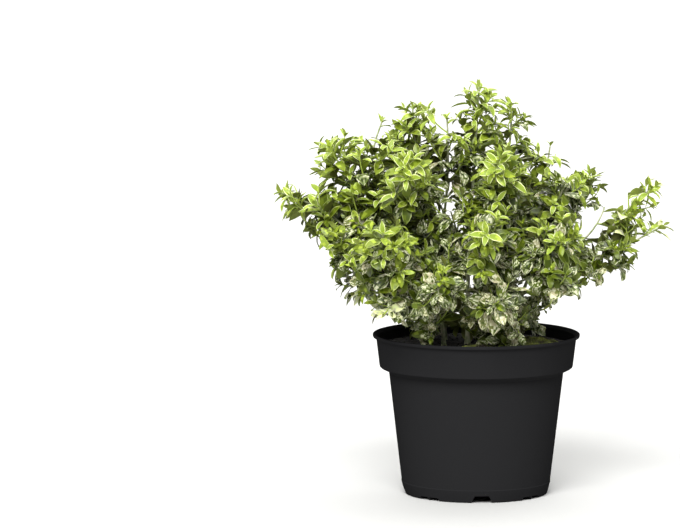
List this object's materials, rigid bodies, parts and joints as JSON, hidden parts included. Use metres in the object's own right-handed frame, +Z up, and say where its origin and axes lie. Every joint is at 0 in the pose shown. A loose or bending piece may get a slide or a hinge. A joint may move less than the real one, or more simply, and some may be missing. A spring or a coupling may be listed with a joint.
{
  "type": "potted evergreen shrub",
  "caption": "Bushy evergreen shrub with small, marbled, cream-edged leaves on thin upright stems, growing in a round tapering black nursery pot.",
  "frame": {"origin": "centre of the pot's flat underside, on the surface that it stands on", "axes": "+Z up along the pot's axis; -Y towards the side that the picture shows, so +X is that view's right"},
  "size_m": [0.3552, 0.3152, 0.3836],
  "materials": {
    "pot_plastic": "injection-moulded black polypropylene, satin",
    "compost": "moist dark potting compost, crumbly",
    "moss": "low yellow-green moss cushion",
    "bark": "smooth grey-green young bark",
    "foliage": "leathery green leaves marbled with cream"
  },
  "bodies": {
    "root": {"pot": "pot_plastic", "compost": "compost", "moss_right": "moss", "moss_front": "moss", "stem_left": "bark", "stem_centre": "bark", "stem_right": "bark", "stem_front": "bark", "stem_back_left": "bark", "stem_back_right": "bark", "bough_left_low": "bark", "bough_left_reach": "bark", "bough_left_front": "bark", "bough_crest_left": "bark", "bough_top_right": "bark", "bough_front_left": "bark", "bough_front_right": "bark", "bough_right_reach": "bark", "bough_right_back": "bark", "bough_back_mid": "bark", "bough_back_low": "bark", "foliage_skirt_front": "foliage", "foliage_skirt_front_left": "foliage", "foliage_skirt_left": "foliage", "foliage_skirt_right": "foliage", "foliage_skirt_back": "foliage", "foliage_low_left": "foliage", "foliage_low_left_front": "foliage", "foliage_low_front": "foliage", "foliage_low_front_mid": "foliage", "foliage_low_front_right": "foliage", "foliage_low_right": "foliage", "foliage_low_right_back": "foliage", "foliage_low_back": "foliage", "foliage_low_back_left": "foliage", "foliage_left_reach": "foliage", "foliage_left_front": "foliage", "foliage_front_left": "foliage", "foliage_front_mid": "foliage", "foliage_front_right": "foliage", "foliage_right_out": "foliage", "foliage_right_up": "foliage", "foliage_back_right": "foliage", "foliage_back_mid": "foliage", "foliage_back_left": "foliage", "foliage_left_back": "foliage", "foliage_high_left": "foliage", "foliage_crest_far_left": "foliage", "foliage_high_front_left": "foliage", "foliage_high_front": "foliage", "foliage_high_front_right": "foliage", "foliage_high_right": "foliage", "foliage_crest_right": "foliage", "foliage_high_back": "foliage", "foliage_high_back_left": "foliage", "foliage_centre_front": "foliage", "foliage_centre_top": "foliage", "foliage_crest_left": "foliage", "foliage_crest_mid": "foliage", "foliage_top_right": "foliage"}
  },
  "joints": []
}
